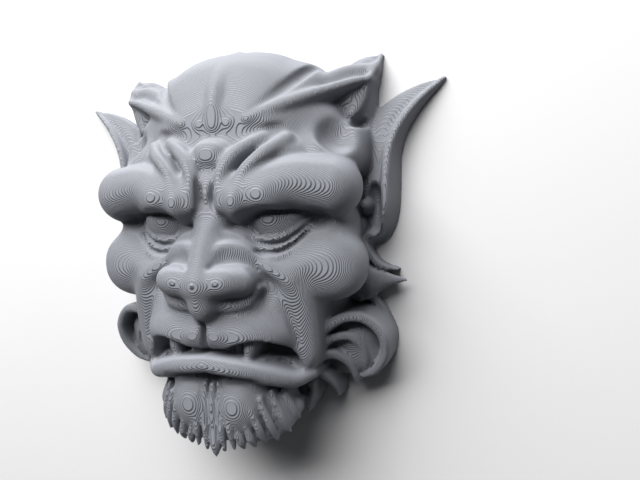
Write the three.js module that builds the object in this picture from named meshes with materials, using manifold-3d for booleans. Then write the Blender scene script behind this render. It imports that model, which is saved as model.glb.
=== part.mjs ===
// Grotesque mask: a face with pointed ears and a beard, printed in grey plastic, flat on its back.
// Millimetres, lying face up: +X to the right as it is looked at, +Y up the face, +Z out of the face.
import * as THREE from 'three'
import { SimplifyModifier } from 'three/addons/modifiers/SimplifyModifier.js'
import { MarchingCubes } from 'three/addons/objects/MarchingCubes.js'
import { mergeVertices } from 'three/addons/utils/BufferGeometryUtils.js'
import Module from 'manifold-3d'

// Driving dimensions
const width = 122.8 // from ear tip to ear tip
const height = 117.4 // from the tip of the beard to the tips of the locks on the head
const depth = 40 // from the flat back to the tip of the nose
const facets = 9600 // number of flat facets that the finished surface is thinned down to

// The face is carved on a grid of points, in parts of its own size that are about a millimetre here.
// Places are [across from the middle, up from the tip of the nose, out from the back].
const step = 1.02 // from one point of the grid to the next
const block = 130 // side of the block that the face is carved from
const half = Math.ceil(block / 2 / step)
const grid = 2 * half
const middle = 10.2 // height of the middle of the face above the tip of the nose
const below = 0.6 // the carving goes this far past the back, where it is then cut flat
const reach = 5 // distances are worked out this far from the surface
const finest = 0.55 * step // no ridge or groove has a smaller radius than this
const foot = 9 // the walls are evened out this far up from the back
// Walls lean in towards the back, by this share of their own height, below the mouth and at the sides
// below the brows, and fully so a little further on.
const lean = 0.45
const chin = -30
const brows = 34
const side = 28
const further = 8
const tiny = 1e-6 // keeps divisions away from zero

const acrossAt = (i) => (i - half) * step
const upAt = (j) => middle + (j - half) * step
const outAt = (k) => (k - 2) * step - below

const wasm = await Module()
wasm.setup()

// Distances to the surface of the face on a grid of points, negative inside. Only one half is carved.
class Form {
  constructor() {
    this.field = new Float32Array(grid ** 3).fill(reach)
  }

  // Joins a shape on, or cuts it away, where it comes near the points of the grid.
  shape(box, blend, isCut, distanceTo) {
    const near = box.clone().expandByScalar(reach + blend)
    const soft = Math.max(blend, finest)
    for (let k = 2; k < grid; k += 1) {
      if (outAt(k) < near.min.z || outAt(k) > near.max.z) continue
      for (let j = 1; j < grid; j += 1) {
        if (upAt(j) < near.min.y || upAt(j) > near.max.y) continue
        for (let i = half; i < grid && acrossAt(i) <= near.max.x; i += 1) {
          if (acrossAt(i) < near.min.x) continue
          const index = i + grid * (j + grid * k)
          const old = this.field[index]
          const away = distanceTo(acrossAt(i), upAt(j), outAt(k))
          this.field[index] = isCut ? -smoothMin(-old, away, soft) : smoothMin(old, away, soft)
        }
      }
    }
  }

  // A rounded lump: power 2 is an ellipsoid, more is boxier. It may be turned, by degrees about each axis.
  lump(centre, radii, blend, power, turn, isCut) {
    const [cx, cy, cz] = centre
    const [rx, ry, rz] = radii
    const size = turn ? Array(3).fill(Math.max(rx, ry, rz)) : radii
    const box = new THREE.Box3().setFromCenterAndSize(new THREE.Vector3(cx, cy, cz), new THREE.Vector3(...size))
    box.expandByVector(new THREE.Vector3(...size).divideScalar(2))
    const spin = new THREE.Quaternion()
    if (turn) spin.setFromEuler(new THREE.Euler(...turn.map(THREE.MathUtils.degToRad))).invert()
    const offset = new THREE.Vector3()
    this.shape(box, blend, isCut, (x, y, z) => {
      offset.set(x - cx, y - cy, z - cz)
      if (turn) offset.applyQuaternion(spin)
      const sx = Math.abs(offset.x / rx) + tiny
      const sy = Math.abs(offset.y / ry) + tiny
      const sz = Math.abs(offset.z / rz) + tiny
      const level = (sx ** power + sy ** power + sz ** power) ** (1 / power)
      const slope = Math.hypot(sx ** (power - 1) / rx, sy ** (power - 1) / ry, sz ** (power - 1) / rz)
      return ((level - 1) * level ** (power - 1)) / slope
    })
  }

  blob(centre, radii, { blend = 2, power = 2, turn } = {}) {
    this.lump(centre, radii, blend, power, turn, false)
  }

  dent(centre, radii, { blend = 1.5, power = 2, turn } = {}) {
    this.lump(centre, radii, blend, power, turn, true)
  }

  // A ridge through [across, up, out, radius] points. With a wall it reaches down to the back, and
  // grows by that share of the way down. Flat is how much shorter than wide its section counts as.
  stroke(points, { blend = 1, wall, flat = 1, isCut = false } = {}) {
    const count = 5 * (points.length - 1)
    const path = smooth(points.map(([x, y, z]) => new THREE.Vector3(x, y, z)), count)
    const widths = smooth(points.map((point) => new THREE.Vector3(point[3], 0, 0)), count)
    const radius = widths.map((width) => Math.max(width.x, finest))
    const box = new THREE.Box3().setFromPoints(path).expandByScalar(Math.max(...radius) / Math.min(flat, 1))
    if (wall !== undefined) {
      box.expandByVector(new THREE.Vector3(wall, wall, 0).multiplyScalar(box.max.z))
      box.min.z = -reach
    }
    this.shape(box, blend, isCut, (x, y, z) => {
      let nearest = Infinity
      for (let n = 0; n < count; n += 1) {
        const away = toPiece(x, y, z, path[n], path[n + 1], radius[n], radius[n + 1], wall, flat)
        nearest = Math.min(nearest, away)
      }
      return nearest
    })
  }

  groove(points, { blend = 0.8, flat = 1 } = {}) {
    this.stroke(points, { blend, flat, isCut: true })
  }

  // A lock of the beard that is widest, and stands a little proud, somewhat past its middle.
  strand(root, tip, { blend = 0.5 } = {}) {
    const between = root.map((v, n) => THREE.MathUtils.lerp(v, tip[n], 0.6))
    between[2] += 0.5
    this.stroke([[...root, 0.6], [...between, 1.2], [...tip, 0.6]], { blend })
  }

  // A print is built up from its back, so what hangs over is carried by a wall. The narrowest gaps are
  // then filled from beside them, and close to the back the walls are evened out as well.
  settle() {
    for (let index = grid * grid * (grid - 1) - 1; index >= 0; index -= 1) {
      const up = upAt(Math.floor(index / grid) % grid)
      const isChin = THREE.MathUtils.smoothstep(chin - up, 0, further)
      const isSide = THREE.MathUtils.smoothstep(acrossAt(index % grid) - side, 0, further)
      const isLow = THREE.MathUtils.smoothstep(brows - up, 0, further)
      const inwards = lean * step * Math.max(isChin, isSide * isLow)
      this.field[index] = Math.min(this.field[index], this.field[index + grid * grid] + inwards)
    }
    const old = this.field.slice()
    const beside = [-1, 0, 1].flatMap((across) => [across - grid, across, across + grid])
    for (let k = 2; k < grid - 1; k += 1) {
      for (let j = 1; j < grid - 1; j += 1) {
        for (let i = half + 1; i < grid - 1; i += 1) {
          const index = i + grid * (j + grid * k)
          const even = beside.reduce((sum, shift) => sum + old[index + shift], 0) / beside.length
          this.field[index] = outAt(k) < foot ? even : Math.min(even, old[index])
        }
      }
    }
  }

  // The surface, mirrored to both halves, as one closed geometry in the parts of the carving.
  surface() {
    const cubes = new MarchingCubes(grid, new THREE.MeshStandardMaterial(), false, false, 200000)
    for (let k = 1; k < grid; k += 1) {
      for (let j = 1; j < grid; j += 1) {
        for (let i = half; i < grid; i += 1) {
          const isOuter = k < 2 || Math.max(i, j, k) > grid - 3 || j < 3
          const away = isOuter ? reach : this.field[i + grid * (j + grid * k)]
          for (const column of [i, grid - i]) cubes.field[column + grid * (j + grid * k)] = -away
        }
      }
    }
    fillPockets(cubes.field)
    cubes.isolation = 0
    cubes.update()
    const geometry = new THREE.BufferGeometry()
    const corners = cubes.positionArray.slice(0, 3 * cubes.count)
    geometry.setAttribute('position', new THREE.BufferAttribute(corners, 3))
    geometry.scale(half * step, half * step, half * step)
    geometry.translate(0, middle, outAt(half))
    return mergeVertices(geometry)
  }
}

function smooth(points, count) {
  const curve = new THREE.CatmullRomCurve3(points, false, 'catmullrom', 0.5)
  return Array.from({ length: count + 1 }, (_, n) => curve.getPoint(n / count))
}

// The lesser of two distances, with the corner between them rounded off.
function smoothMin(a, b, soft) {
  const share = THREE.MathUtils.clamp(0.5 + (a - b) / (2 * soft), 0, 1)
  return THREE.MathUtils.clamp(THREE.MathUtils.lerp(a, b, share) - soft * share * (1 - share), -reach, reach)
}

// Pockets inside the face that can't be reached from outside are filled. The field is positive inside.
function fillPockets(field) {
  const reached = new Uint8Array(field.length)
  const steps = [1, grid, grid * grid].flatMap((step) => [step, -step])
  const waiting = [0]
  while (waiting.length > 0) {
    const index = waiting.pop()
    if (reached[index] || !(field[index] <= 0)) continue
    reached[index] = 1
    for (const step of steps) waiting.push(index + step)
  }
  field.forEach((value, index) => {
    if (value <= 0 && !reached[index]) field[index] = reach
  })
}

// Distance to one tapered piece of a ridge, from start to end.
function toPiece(x, y, z, start, end, startRadius, endRadius, wall, flat) {
  const [dx, dy, dz] = [end.x - start.x, end.y - start.y, end.z - start.z]
  const tall = wall === undefined ? flat : 0
  const along = (x - start.x) * dx + (y - start.y) * dy + tall * tall * (z - start.z) * dz
  const share = THREE.MathUtils.clamp(along / (dx * dx + dy * dy + (tall * dz) ** 2 + tiny), 0, 1)
  const radius = THREE.MathUtils.lerp(startRadius, endRadius, share)
  const up = z - start.z - share * dz
  const side = Math.hypot(x - start.x - share * dx, y - start.y - share * dy)
  if (wall === undefined) return Math.hypot(side, up * flat) - radius
  return Math.hypot(side, Math.max(up, 0) * flat) - radius - wall * Math.max(-up, 0)
}

function head() {
  form.blob([0, 36, 2], [30, 32.8, 24.4], { blend: 2, power: 2.6 })
  form.blob([20.5, 50, 4], [9, 13.5, 14], { blend: 3, power: 2.4 })
  form.blob([0, 12, 0], [37, 30, 25], { blend: 5, power: 3 })
  form.blob([25, 38, 4], [9.5, 13, 14], { blend: 4, power: 3 })
  form.blob([33.4, 37, 4], [7.2, 8.5, 10.6], { blend: 3, power: 2.8 })
  form.blob([28, 35.4, 13], [9.5, 7, 9.6], { blend: 4 })
  form.blob([0, -10, 2], [27.5, 29, 27], { blend: 5, power: 2.4 })
  form.blob([0, -33, 12], [18.5, 11, 15], { blend: 4, power: 2.2 })
  form.blob([9, 6, 20], [12, 14, 10], { blend: 3 })
  form.blob([9, 31, 17], [12, 8, 9.6], { blend: 3 })
}

function cap() {
  // front of the cap: a level, lobed band that ends above the wrinkles
  form.blob([0, 46.5, 16], [10, 6.5, 10.4], { blend: 2, power: 2.6 })
  form.blob([8.5, 46.5, 16.6], [7, 6.5, 9], { blend: 2 })
  form.blob([14.5, 44.6, 17], [6, 5, 8], { blend: 2 })
  form.stroke([[0, 66, 8, 3], [0, 58, 19.4, 3.2], [0, 51, 23.8, 3], [0, 44, 24.6, 2.4]], { blend: 1.2 })
  form.blob([4.6, 44.6, 22.4], [2.6, 2.4, 4.2], { blend: 1 })
  // step between the cap and the pointed lock
  form.groove([[8, 44.8, 28, 0.7], [12.6, 48, 26.4, 1.4], [17.6, 52.4, 22.8, 1.8], [22.2, 57.4, 17, 1.8],
    [25.6, 61.8, 9.5, 1.4]], { blend: 0.8 })
  form.groove([[0, 41.4, 28.2, 1.3], [8, 41.4, 27.6, 1.3], [14.5, 42.2, 25.8, 1.3], [20, 43.2, 23.4, 1]],
    { blend: 0.8 })
}

function flap() {
  // pointed lock: bright top face between the crest and the back edge
  form.stroke([[10.5, 45.4, 25.2, 1.4], [17, 48.2, 22.6, 1.8], [24, 51.2, 18.4, 1.9], [31, 54, 13.8, 1.5],
    [36.5, 56, 10.6, 1.2], [40.4, 57, 8.4, 0.8]], { blend: 1.2, wall: 0.1 })
  form.stroke([[40.6, 57.2, 8.2, 0.8], [42, 61, 4.6, 0.8], [42.8, 65, 0.6, 0.7]], { blend: 0.8, wall: 0 })
  form.stroke([[24, 55.6, 11, 2.6], [29, 57.4, 8.4, 2.6], [34, 59.6, 5.8, 2.4], [40.4, 60.4, 3.8, 1.8]],
    { blend: 2, wall: 0 })
  form.stroke([[32, 61, 1.2, 1.2], [36, 63.4, 0.6, 1.2], [42.6, 65.2, 0, 0.5]], { blend: 1, wall: 0 })
  // outer wall of the lock, running down to the ear
  form.stroke([[40.4, 57.2, 7.6, 0.9], [39, 53.2, 7.2, 1.1], [37.2, 49.6, 7.4, 1.3],
    [35.4, 47.2, 8.4, 1.4]], { blend: 1, wall: 0.12 })
  form.blob([36, 54.5, 0], [5, 8, 6.5], { blend: 1.5, power: 2.6 })
  form.blob([33.4, 52.4, 0], [7, 6.6, 9.4], { blend: 2, power: 2.6 })
  form.blob([38.5, 62.3, 0], [3.6, 2.6, 3.6], { blend: 1 })
  form.blob([37.2, 47.6, 0], [4.4, 8, 6], { blend: 2 })
  // scoop below the lock, with its outer post
  form.blob([34.4, 39.6, 3], [4.8, 5.4, 10.4], { blend: 1, power: 4 })
  form.dent([34, 41, 18.4], [5.8, 5.6, 5.4], { blend: 2.5 })
  form.dent([38.2, 44.8, 11.5], [2.9, 2, 7.5], { blend: 0.4, power: 2.6 })
}

function wrinkles() {
  // two ridges on each side that run from between the brows up and outwards, and a lobe between them
  form.blob([0, 33.6, 21.4], [13, 5.8, 7.6], { blend: 2, power: 2.4 })
  form.blob([17.5, 35.4, 18.4], [9, 5.6, 8.4], { blend: 2 })
  form.blob([0, 35.6, 25.6], [6, 4.6, 5.4], { blend: 1.5, power: 2.4 })
  form.stroke([[4.9, 21.7, 31.2, 2.2], [4.3, 27.4, 30.8, 2.2], [5.2, 31.2, 30.2, 2.2], [7.4, 34.8, 29, 2.2],
    [10.6, 37.5, 27.2, 2.1], [14.3, 39.7, 24.8, 1.8]], { blend: 1.6 })
  form.stroke([[9.4, 25, 31, 2.2], [10.4, 28.2, 30.6, 2.2], [12.8, 31.6, 29.8, 2.3],
    [16.7, 35.6, 27.6, 2.3], [20.9, 39.4, 23.4, 1.9]], { blend: 1.6 })
  form.groove([[7.4, 25.4, 34.2, 0.7], [7.8, 28.6, 33.2, 0.9], [8.8, 32, 32, 1], [11.4, 34.8, 30.6, 1],
    [14.8, 37.7, 28, 0.9], [17.6, 39.8, 25.8, 0.6]], { blend: 0.5 })
  form.groove([[12.2, 26.4, 34, 0.7], [13.2, 29.2, 32.8, 1], [16.4, 32, 31, 1.1], [21, 34.8, 28, 1],
    [25, 37.4, 24.8, 0.6]], { blend: 0.8 })
}

function brow() {
  form.stroke([[7.5, 24, 26.6, 7], [15.5, 25.2, 26.2, 7.2], [23.5, 27.2, 24.2, 7.5], [33, 25.9, 21.6, 8.5]],
    { blend: 1.5 })
  form.blob([9, 22.6, 27], [4.8, 6.2, 7.6], { blend: 1.2 })
  form.blob([16.5, 24, 26.4], [6.2, 6.4, 7.4], { blend: 1.5 })
  // middle of the brows: a thin ridge between two grooves
  form.blob([0, 25, 26], [4, 8, 5.8], { blend: 2 })
  form.groove([[2.3, 31.6, 33, 0.6], [2.2, 27.5, 32.2, 1], [2, 21.7, 31.4, 1.1], [3.2, 18.4, 31, 0.7]],
    { blend: 0.4, flat: 0.6 })
}

function eye() {
  form.blob([31, 15.5, 14], [7.5, 8, 8], { blend: 3 })
  form.dent([17.5, 14.4, 34], [10.5, 6.6, 9.4], { blend: 1.2, turn: [0, 14, 0] })
  form.dent([18.5, 9.6, 33.4], [9.5, 6, 7.4], { blend: 1.5, turn: [0, 16, 0] })
  form.dent([24.5, 12.4, 31], [6.5, 6.5, 7], { blend: 1.5, turn: [0, 20, 0] })
  form.dent([29.4, 16.2, 26], [5.2, 3.8, 5.6], { blend: 1.5 })
  form.blob([16.8, 18.2, 19.2], [9.6, 8.6, 9.2], { blend: 0.3 })
  form.groove([[9.6, 16.6, 29, 0.6], [12.4, 18, 28.4, 0.8], [15.4, 19.3, 28.4, 0.8],
    [20.7, 19.7, 27.6, 0.8], [26.2, 19.7, 24.2, 0.7]], { blend: 0.3, flat: 0.5 })
}

function cheek() {
  form.blob([22.5, 4.4, 19], [8.5, 5, 9.4], { blend: 3 })
  form.blob([30.2, 4.8, 19.4], [12, 10.2, 7.8], { blend: 4, power: 2.2 })
  form.blob([30, 5, 10], [9, 9.6, 12], { blend: 2, power: 2.4 })
}

function nose() {
  form.blob([0, 5, 24], [15, 11, 10], { blend: 3 })
  form.blob([0, 14.6, 25.6], [5.8, 8.6, 6.2], { blend: 1.5, power: 3 })
  form.blob([4.6, 7.4, 28], [8, 5.6, 5], { blend: 3 })
  form.stroke([[0, 14, 29.6, 3.6], [0, 8.5, 32.6, 3.8], [0, 1.5, 34.2, 5.4]], { blend: 2 })
  form.blob([0, 0, 33.4], [6.4, 5.8, 6.5], { blend: 1.5 })
  form.stroke([[3.5, 0.8, 34.4, 4.6], [7.4, 1.4, 35, 4.2], [10.8, 1.4, 32.8, 4.2]], { blend: 1.2 })
  form.blob([0, -4.6, 33.4], [4.6, 5.4, 5.2], { blend: 1.2 })
  form.blob([6.5, -4.8, 28.2], [8.4, 3.8, 6.2], { blend: 2 })
  form.dent([10, -3.9, 35.4], [2.8, 0.7, 2.2], { blend: 0.6 })
  form.stroke([[0, -4, 35, 3.4], [0, -8.4, 35.2, 1.6]], { blend: 1.2 })
  form.stroke([[4.6, -6.2, 33.4, 0.8], [8.6, -5.8, 33, 0.9], [12.4, -4.2, 32, 1], [14.6, -0.8, 31.2, 1]],
    { blend: 0.8, wall: 0.1 })
  // wrinkles that run from the root of the nose down past the wings
  form.stroke([[2.3, 14.1, 30.6, 1.1], [8.3, 12.7, 29.2, 1.1], [15.4, 7.6, 27, 1.2], [20.4, 5.2, 26.8, 1.2],
    [25.4, 3.1, 26.4, 1.2]], { blend: 0.8 })
  form.stroke([[1.5, 5.4, 34.4, 1.6], [2.9, 8.4, 33.4, 1.6], [5.6, 10.2, 32.2, 1.6], [10.2, 9.6, 30.4, 1.6],
    [14, 6.8, 28.8, 1.6], [18.6, 4, 27.8, 1.6], [22.9, 1.8, 27.2, 1.6]], { blend: 0.8 })
  form.groove([[3.6, 5.2, 37, 0.8], [6.4, 7.2, 34.6, 1], [10.6, 7, 33, 1], [14.4, 4.4, 31.8, 0.9]],
    { blend: 0.8 })
}

function lids() {
  // lower lid and the two folds below it, with a groove between them
  for (const [drop, out] of [[0, 0], [2.5, 0.7], [4.9, 1.2]]) {
    form.stroke([[9.6, 14.6 - drop, 26.8 + out, 0.7], [13.4, 12.4 - drop, 26.9 + out, 0.9],
      [19.3, 12.4 - drop, 26.3 + out, 1], [23.8, 14.8 - drop, 24.6 + out, 0.9],
      [27.2, 18.4 - drop, 21.4 + out, 0.6]], { blend: 0.5, wall: 0 })
  }
  for (const [drop, out] of [[0, 0], [2.5, 0.8]]) {
    form.groove([[11.2, 12.9 - drop, 28.6 + out, 0.5], [14, 11.2 - drop, 28 + out, 0.7],
      [19.3, 11.1 - drop, 27.2 + out, 0.8], [23.8, 13.4 - drop, 25.5 + out, 0.7],
      [27.4, 17 - drop, 22.4 + out, 0.5]], { blend: 0.3, flat: 0.6 })


  }
}

function muzzle() {
  form.blob([8, -13.6, 23.2], [15.5, 9, 11.8], { blend: 2 })
  form.blob([0, -12.6, 28], [6, 7, 7.2], { blend: 2 })
  form.blob([3.4, -13.6, 30], [4.8, 4, 5.8], { blend: 1.5 })
  form.stroke([[14, -11, 23, 8], [18.8, -13.6, 21.8, 6.6], [22, -19, 20.2, 4.4]], { blend: 2 })
  form.blob([19, -6, 20], [7, 10, 8.6], { blend: 3 })
}

function folds() {
  // fold from the nose round the mouth, and the groove inside it
  form.groove([[13.8, 4.6, 32.8, 0.8], [17, 1.6, 32, 1.2], [20, -2.6, 30.6, 1.4], [22.2, -7.6, 28.8, 1.4],
    [23.4, -12.6, 27.2, 1.2], [24, -17, 25.8, 0.8]], { blend: 1.5 })
  form.stroke([[17.6, 4.6, 28.4, 1.2], [21.4, 2, 27.4, 1.9], [24.4, -2.4, 25.8, 2.4], [26, -8, 24.2, 2.6],
    [26.4, -14, 22.8, 2.6], [25.8, -19.4, 21.8, 2.7], [24.2, -23, 21.2, 2.4]], { blend: 4, wall: 0 })
  form.groove([[0, -9.5, 35.6, 0.6], [0, -13, 35, 0.8], [0, -18.5, 34.6, 0.8]], { blend: 0.2, flat: 0.35 })
}

function mouth() {
  form.groove([[0, -18.6, 33, 1.1], [5.5, -18.4, 32.5, 1.3], [10, -17.7, 31.5, 2.3], [14.5, -17.5, 29.8, 3],
    [18.6, -18.7, 28, 2.8], [21.6, -21, 26, 1.8], [23.6, -23.6, 24.6, 0.8]], { blend: 0.5, flat: 0.3 })
  // teeth
  form.stroke([[11.8, -13, 29.4, 2.1], [11.6, -17.2, 30.6, 1.8], [10.8, -21, 30.6, 0.9]],
    { blend: 0.3, wall: 0 })
  for (const x of [1.6, 4.4, 7.2]) {
    form.stroke([[x, -15.5, 28.2, 1.1], [x, -20.5, 28.2, 0.9]], { blend: 0.2, wall: 0 })
  // lower lip
  }
  form.stroke([[0, -21.2, 34.3, 2.4], [9.5, -22.8, 32.4, 2.8], [16.5, -24.8, 28.9, 2.9],
    [21.8, -26.6, 24.8, 2.5], [25.6, -25.8, 21, 1.8]], { blend: 0.6 })
}

function beard() {
  form.blob([6.8, -33.4, 24.4], [8.8, 10.6, 9.2], { blend: 3 })
  form.dent([7, -26.8, 36], [10, 1.9, 5.5], { blend: 1.5 })
  form.blob([0, -35.8, 21.8], [20.8, 8, 7.8], { blend: 1.5, power: 2.6 })
  form.stroke([[0, -42.2, 27.8, 2.6], [8, -42.4, 27, 2.6], [13.8, -41.6, 25.2, 2.6], [17.8, -39.6, 23, 2.6],
    [20.2, -35.7, 20.4, 2.6]], { blend: 1.5 })
  // strands fan out from below the lip to the fringe, each swelling in the middle and ending in a point
  const strands = [[[2, -27.5, 31.6], [2.7, -46.6, 30.6]], [[4.2, -30, 32.4], [5.6, -45.8, 30.2]],
    [[7, -39.5, 31.2], [8.2, -45.8, 29.4]], [[9.8, -38.5, 31.4], [11.2, -45.2, 28.6]], [[11.8, -33.5, 31.8],
    [14.2, -44.4, 27.8]], [[13.9, -31.2, 30.6], [17.2, -43.6, 26.4]], [[16.1, -29.8, 28],
    [20, -41.8, 24.4]], [[18.2, -29.4, 25], [22, -38.6, 22]]]
  for (const [root, tip] of strands) {
    form.strand(root, tip, { blend: 0.4 })
  }
  form.stroke([[0, -28, 31.4, 0.8], [0, -34, 31.8, 1], [0, -40, 31, 1.3], [0, -45, 30.4, 1.7],
    [0, -48.4, 30.6, 0.5]], { blend: 0.4 })
  // lobe beside the chin
  form.stroke([[22.6, -30, 14, 2.2], [21.4, -35, 12, 2.4], [19.8, -41.4, 8.6, 0.7]],
    { blend: 0.8, wall: 0 })
  form.dent([21.4, -33, 16.2], [1.4, 2, 2.6], { blend: 0.4 })
}

function curls() {
  form.blob([33.5, -19.5, 0], [11.2, 11, 12.4], { blend: 2, power: 2.5 })
  form.blob([35.5, -16.5, 4], [7.4, 6.6, 9.6], { blend: 2 })
  form.stroke([[24.4, -19, 18.6, 1.2], [26.6, -15.6, 18, 1.4], [29.8, -13, 17.4, 1.5],
    [34, -10.8, 16.6, 1.4], [38.6, -10.6, 15.6, 1.5], [42.4, -13.2, 14, 1.5], [44.6, -17.4, 12.6, 1.5],
    [44, -22.8, 11, 1.4], [40.8, -27.4, 9.4, 1.2], [37, -29.4, 8.6, 0.8]], { blend: 0.5, wall: 0.03 })
  form.stroke([[24.6, -22, 18, 1.1], [27.2, -18.8, 16.8, 1.3], [30.4, -16.9, 15.4, 1.3],
    [34.6, -16.6, 14, 1.2], [37.6, -19.2, 12.4, 1.1], [38.8, -23.4, 10.6, 1], [37.8, -27.6, 8.6, 0.7]],
    { blend: 0.4, wall: 0.05 })
  form.stroke([[24.4, -24.6, 17.4, 1.1], [27, -22.4, 16.4, 1.2], [30.4, -22, 14.6, 1.3],
    [33.6, -24.6, 12.4, 1.1], [35.2, -28.6, 10.2, 1], [35.2, -32, 8.4, 0.6]], { blend: 0.4, wall: 0.05 })
  form.stroke([[23, -26.4, 17, 1.1], [25.2, -27.2, 15.6, 1.2], [27.6, -29, 13.6, 1.3],
    [29.2, -32.6, 10.6, 1], [29.4, -36, 8.4, 0.5]], { blend: 0.4, wall: 0.05 })
  // outer rim close to the back
  form.stroke([[39, -6.5, 4, 1.2], [42.2, -10.2, 3.6, 1.2], [44.4, -15.4, 3, 1], [44.6, -21, 2.4, 0.9],
    [42.4, -27, 2, 0.8]], { blend: 0.5, wall: 0 })
  // spikes that stand out to the side
  form.stroke([[36, -2, 5, 6], [40.5, -1.4, 4.8, 3.8], [45, -1.2, 4.8, 1.8], [50.2, -1.2, 4.6, 0.4]],
    { blend: 0.8, flat: 1.2 })
  form.stroke([[37.4, 11, 7, 1], [39.2, 6.4, 6.4, 1], [42.4, 3, 5.6, 0.9], [47, 1.8, 4.6, 0.4]],
    { blend: 0.5, wall: 0 })
}

function ear() {
  form.stroke([[59.8, 56.4, 0.2, 0.6], [54.4, 53.4, 0.6, 2.4], [49, 49.4, 0.8, 4], [44.4, 44, 1.2, 5.2],
    [42, 35, 1.8, 5.6], [40.8, 27, 2.4, 5.2]], { blend: 1.5, flat: 1.6 })
  form.stroke([[61, 56.8, 1, 0.5], [53.8, 50.6, 3.6, 0.9], [48.4, 43.6, 5.6, 1.1], [45.6, 36.5, 6.8, 1.2],
    [44.8, 28, 7.8, 1.2], [44.4, 20.6, 8, 1.2], [42.6, 14.8, 7.2, 1.2], [39, 11.4, 6, 1]],
    { blend: 0.8, wall: 0.28 })
  form.blob([41, 19, 0], [5.5, 10, 3], { blend: 1.5 })
  form.dent([41, 20, 8], [2.5, 8, 6.4], { blend: 0.8, power: 2.3 })
  form.blob([38.4, 20.5, 3], [1.9, 2.6, 6], { blend: 0.6 })
  form.blob([36.6, 14.6, 5], [1.8, 3.2, 5], { blend: 0.6 })
}

const form = new Form()
head()
cap()
flap()
wrinkles()
brow()
eye()
cheek()
nose()
lids()
muzzle()
folds()
mouth()
beard()
curls()
ear()
form.settle()

// A merged geometry as a solid that can be joined and cut.
function toSolid(geometry) {
  const closed = geometry.clone()
  for (const name of ['normal', 'uv', 'color']) closed.deleteAttribute(name)
  const merged = mergeVertices(closed)
  return new wasm.Manifold(
    new wasm.Mesh({
      numProp: 3,
      vertProperties: new Float32Array(merged.attributes.position.array),
      triVerts: new Uint32Array(merged.index.array),
    })
  )
}

function toGeometry(solid) {
  const { vertProperties, triVerts } = solid.getMesh()
  const geometry = new THREE.BufferGeometry()
  geometry.setAttribute('position', new THREE.BufferAttribute(new Float32Array(vertProperties), 3))
  geometry.setIndex(new THREE.BufferAttribute(new Uint32Array(triVerts), 1))
  return geometry
}

// Stretches the carving to its real size and stands its flat back at z = 0, centred in x and y.
function fitToSize(geometry) {
  geometry.computeBoundingBox()
  const { min, max } = geometry.boundingBox
  geometry.translate(-(min.x + max.x) / 2, -(min.y + max.y) / 2, 0)
  geometry.scale(width / (max.x - min.x), height / (max.y - min.y), depth / max.z)
  return geometry
}

function cutFlat(geometry) {
  const slab = new THREE.BoxGeometry(2 * width, 2 * height, depth)
  slab.translate(0, middle, -depth / 2)
  return toGeometry(toSolid(geometry).subtract(toSolid(slab)))
}

// Thins the surface where it is nearly flat, keeping its corners where they are.
async function thinOut(geometry) {
  const spare = 1 - facets / (geometry.index.count / 3)
  return new SimplifyModifier().modify(geometry, Math.floor(spare * geometry.attributes.position.count))
}

const greyPlastic = new THREE.MeshStandardMaterial({ color: 0x9aa0a8, roughness: 0.55, metalness: 0 })
const mask = new THREE.Mesh(fitToSize(await thinOut(cutFlat(form.surface()))), greyPlastic)
mask.geometry.computeVertexNormals()
mask.name = 'mask'

const group = new THREE.Group()
group.add(mask)

export default group
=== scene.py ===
"""Looks of the grotesque mask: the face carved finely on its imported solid, in layered grey print."""
import math

import bmesh
import bpy
import numpy as np
from mathutils import Matrix, Vector


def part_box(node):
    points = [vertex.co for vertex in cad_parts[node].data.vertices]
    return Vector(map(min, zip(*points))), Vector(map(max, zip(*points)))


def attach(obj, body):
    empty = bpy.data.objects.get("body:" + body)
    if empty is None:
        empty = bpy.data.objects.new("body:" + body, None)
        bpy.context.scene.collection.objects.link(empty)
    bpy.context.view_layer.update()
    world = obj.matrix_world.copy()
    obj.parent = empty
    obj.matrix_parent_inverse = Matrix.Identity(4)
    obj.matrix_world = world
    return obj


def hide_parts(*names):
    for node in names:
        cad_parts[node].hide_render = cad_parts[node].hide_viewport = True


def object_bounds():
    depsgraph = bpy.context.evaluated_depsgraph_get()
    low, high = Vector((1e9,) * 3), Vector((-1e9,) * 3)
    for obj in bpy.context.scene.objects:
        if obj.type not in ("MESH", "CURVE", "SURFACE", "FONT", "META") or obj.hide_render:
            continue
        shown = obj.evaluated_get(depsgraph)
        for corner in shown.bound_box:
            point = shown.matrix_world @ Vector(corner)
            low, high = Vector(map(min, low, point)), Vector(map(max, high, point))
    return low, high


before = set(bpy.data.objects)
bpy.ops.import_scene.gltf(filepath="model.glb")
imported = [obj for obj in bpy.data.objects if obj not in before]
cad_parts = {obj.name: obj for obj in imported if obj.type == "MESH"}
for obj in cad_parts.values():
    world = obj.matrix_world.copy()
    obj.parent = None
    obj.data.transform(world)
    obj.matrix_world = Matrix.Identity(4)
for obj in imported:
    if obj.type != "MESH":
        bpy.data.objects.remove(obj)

MM = 0.001

# The face is carved on a grid of points, in units of its own size that are about a millimetre here.
# Places are [across from the middle, up from the tip of the nose, out from the back].
CELL = 0.64  # from one point of the grid to the next
LOW = [0.0, -52.0, -1.5]  # the grid of one half starts here
HIGH = [63.5, 73.5, 43.0]  # and ends here
REACH = 5.0  # distances are worked out this far from the surface
PIECES_OF_CURVE = 5  # straight pieces between two points of a ridge or groove
LEAN = 0.45  # how far walls lean in, as a share of their height,
CHIN = -30  # below this height,
SIDE = 28  # and this far across,
BROWS = 34  # below this height,
FURTHER = 8  # fully so this much further on
LOCK_END = 0.6  # radius of a lock of the beard at both ends,
LOCK_MIDDLE = 1.2  # and where it is widest,
PROUD = 0.5  # which stands out this far
NEAR_BACK = 0.75 * CELL  # corners of the surface that are this near to the back are put on it
TINY = 1e-6  # keeps divisions away from zero
LEAST = 0.01  # does the same in the material

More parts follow.
